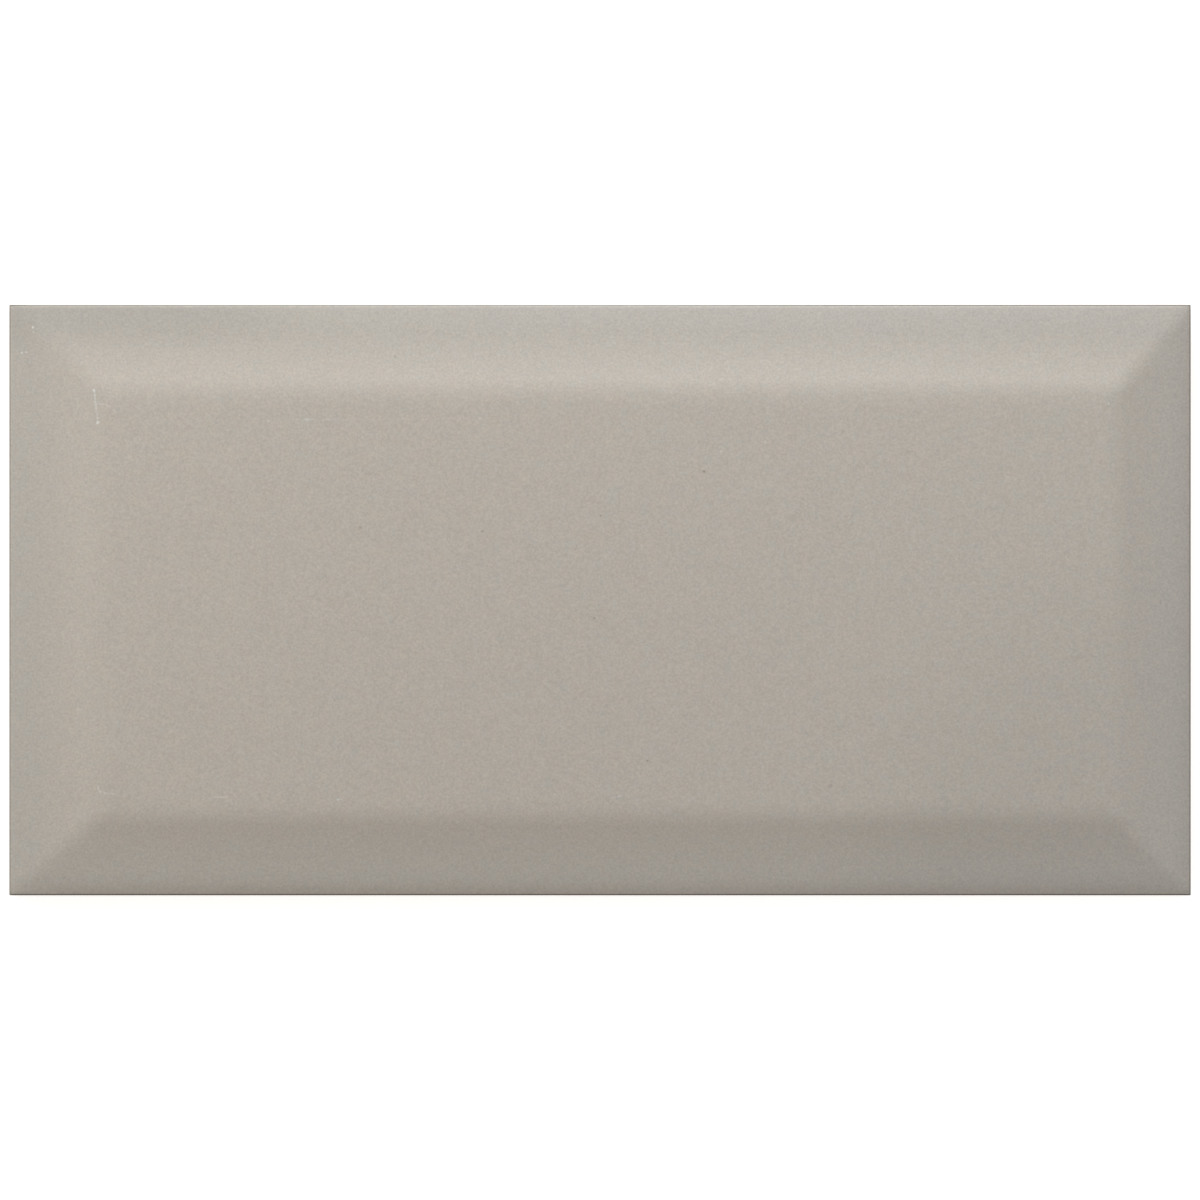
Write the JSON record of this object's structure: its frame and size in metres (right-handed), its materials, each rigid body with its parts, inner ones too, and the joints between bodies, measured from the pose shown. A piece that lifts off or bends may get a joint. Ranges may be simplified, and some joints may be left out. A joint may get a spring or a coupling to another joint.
{
  "type": "ceramic wall tile",
  "caption": "Oblong ceramic wall tile with a flat field, hollow bevels down to a thin rim and a keyed back, for tiling walls in a brick bond.",
  "frame": {"origin": "middle of the back of the tile, in the plane that beds on the wall or lies on a floor", "axes": "+X along the length, +Y across the width, +Z out of the glazed face"},
  "size_m": [0.15, 0.075, 0.008],
  "materials": {
    "glaze": "matte"
  },
  "bodies": {
    "root": {"bevelled_tile": "glaze"}
  },
  "joints": []
}
